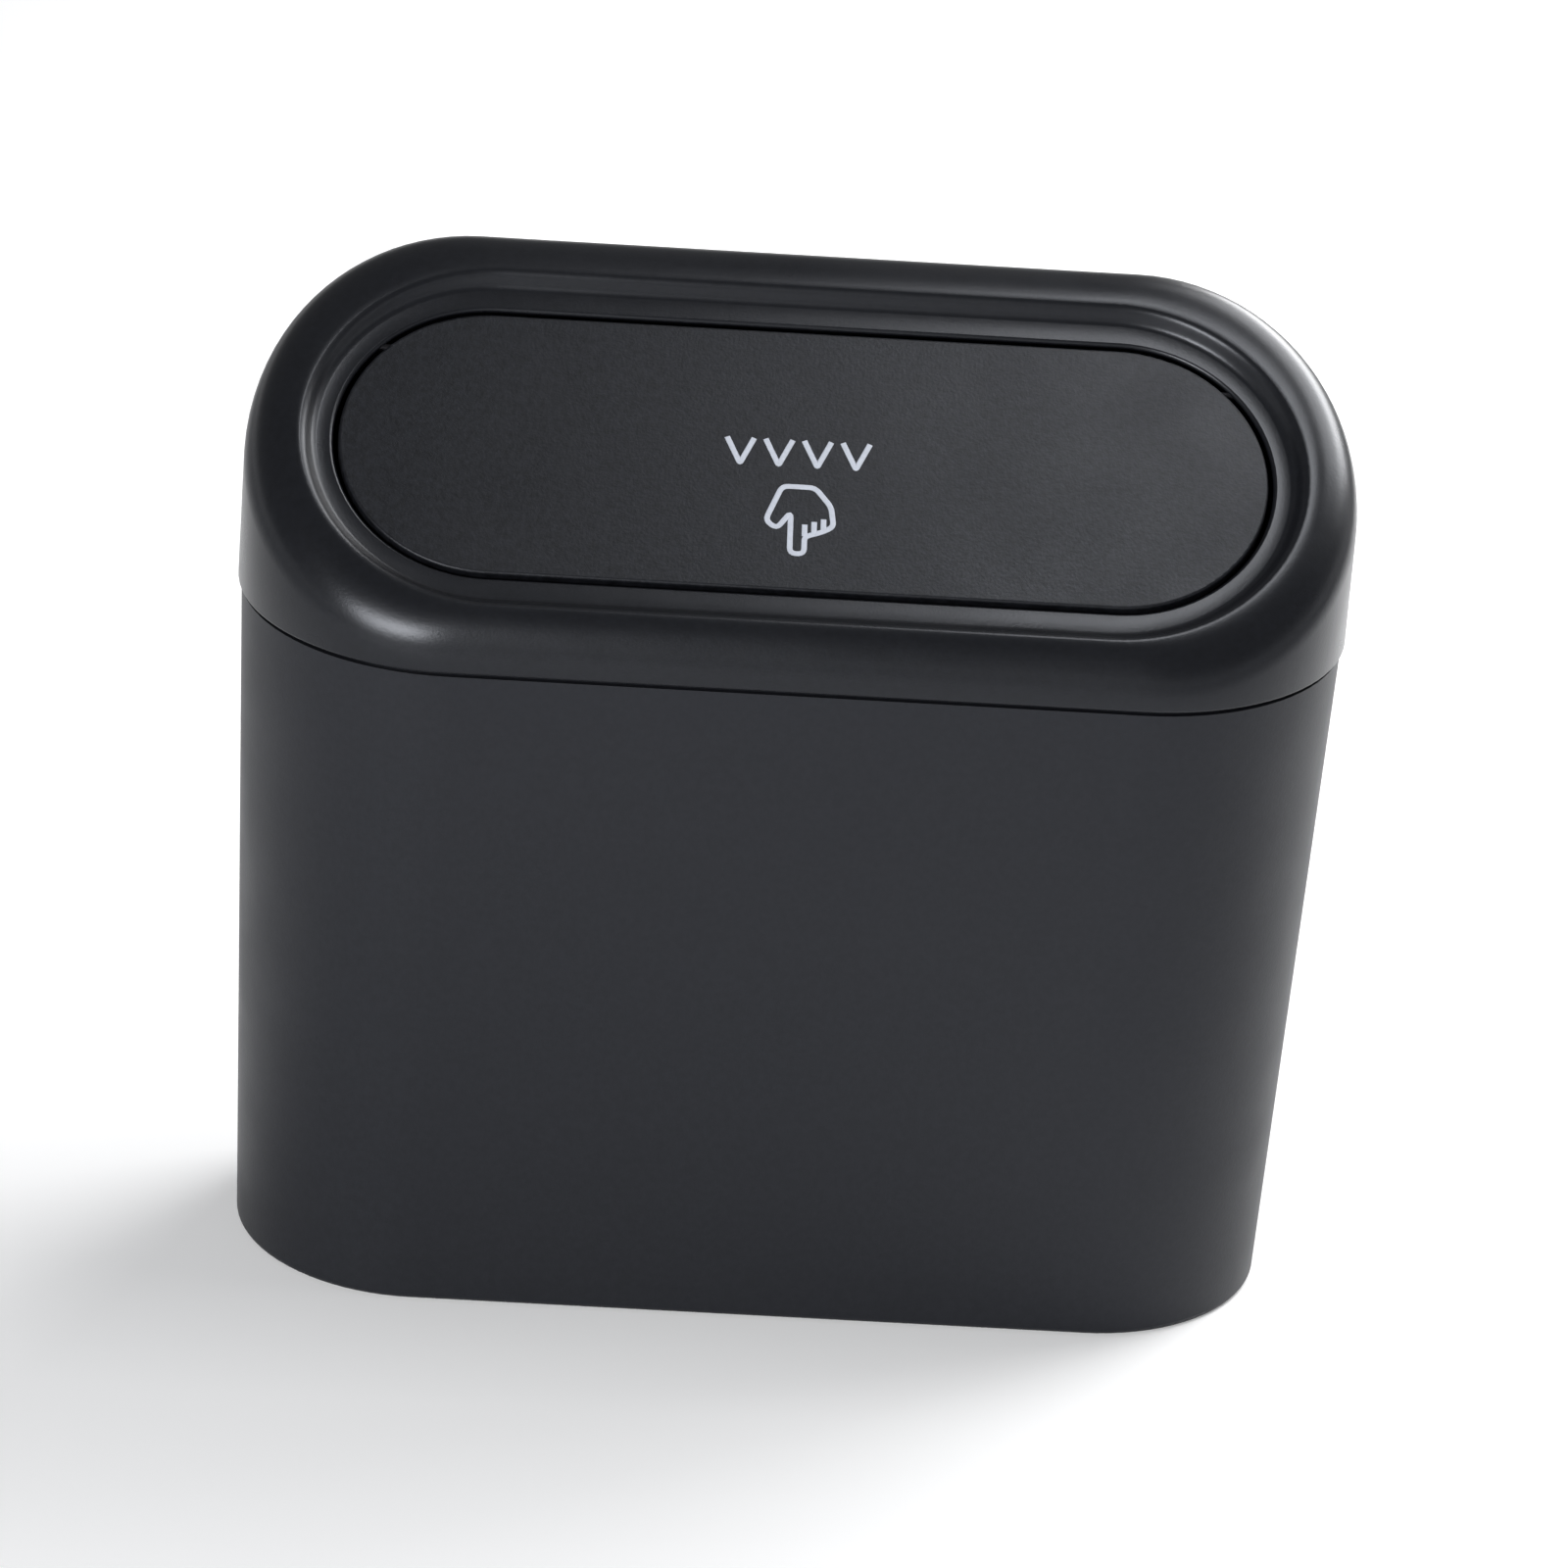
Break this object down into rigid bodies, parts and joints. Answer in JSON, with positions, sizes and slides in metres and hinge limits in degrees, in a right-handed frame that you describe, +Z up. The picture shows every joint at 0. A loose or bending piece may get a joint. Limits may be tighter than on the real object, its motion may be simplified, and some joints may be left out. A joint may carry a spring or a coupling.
{
  "type": "car trash can",
  "caption": "Stadium-plan tapered bin with a slanted bulged lid frame that lifts off, a sprung press-to-open flap on pins, a push latch under it and a hook that slides off the back wall",
  "frame": {"origin": "middle of the flat face that the bin stands on", "axes": "+Z up, +X along the bin, +Y towards the high side of the lid and the hook; the user is at -Y"},
  "size_m": [0.156, 0.0748, 0.1431],
  "materials": {
    "shell_plastic": "charcoal black moulded plastic with a fine even grain",
    "inner_plastic": "plain black moulded plastic",
    "latch_plastic": "dark grey moulded plastic",
    "plunger_plastic": "natural white self-lubricating plastic",
    "pin_steel": "blackened steel",
    "screw_steel": "zinc-plated steel",
    "spring_steel": "drawn spring wire"
  },
  "bodies": {
    "bin_body": {"bin_body": "shell_plastic"},
    "lid_frame": {"lid_frame": "shell_plastic", "latch_housing": "latch_plastic", "latch_cap": "latch_plastic", "latch_spring": "spring_steel", "latch_screws": "screw_steel", "hinge_spring_left": "spring_steel", "hinge_spring_right": "spring_steel"},
    "flap": {"flap": "shell_plastic", "flap_inner_panel": "inner_plastic", "panel_screws": "screw_steel", "striker": "latch_plastic", "striker_screws": "screw_steel", "hinge_pin_left": "pin_steel", "hinge_pin_right": "pin_steel"},
    "latch_plunger": {"latch_plunger": "plunger_plastic"},
    "hook": {"hook": "shell_plastic"}
  },
  "joints": [
    {"name": "lid_lift", "type": "slide", "parent": "bin_body", "child": "lid_frame", "axis": [0, 0, 1], "range_m": [0, 0.045]},
    {"name": "flap_hinge", "type": "hinge", "parent": "lid_frame", "child": "flap", "pos_m": [0, 0.01065, 0.13168], "axis": [-1, 0, 0], "range_deg": [-2.5, 85], "deforming": ["hinge_spring_left", "hinge_spring_right"]},
    {"name": "latch_travel", "type": "slide", "parent": "lid_frame", "child": "latch_plunger", "axis": [0, -0.5592, 0.829], "range_m": [-0.0015, 0.0025], "stiffness_N_per_m": 200, "deforming": ["latch_spring"]},
    {"name": "hook_slide", "type": "slide", "parent": "bin_body", "child": "hook", "axis": [0, 0, 1], "range_m": [0, 0.034]}
  ]
}
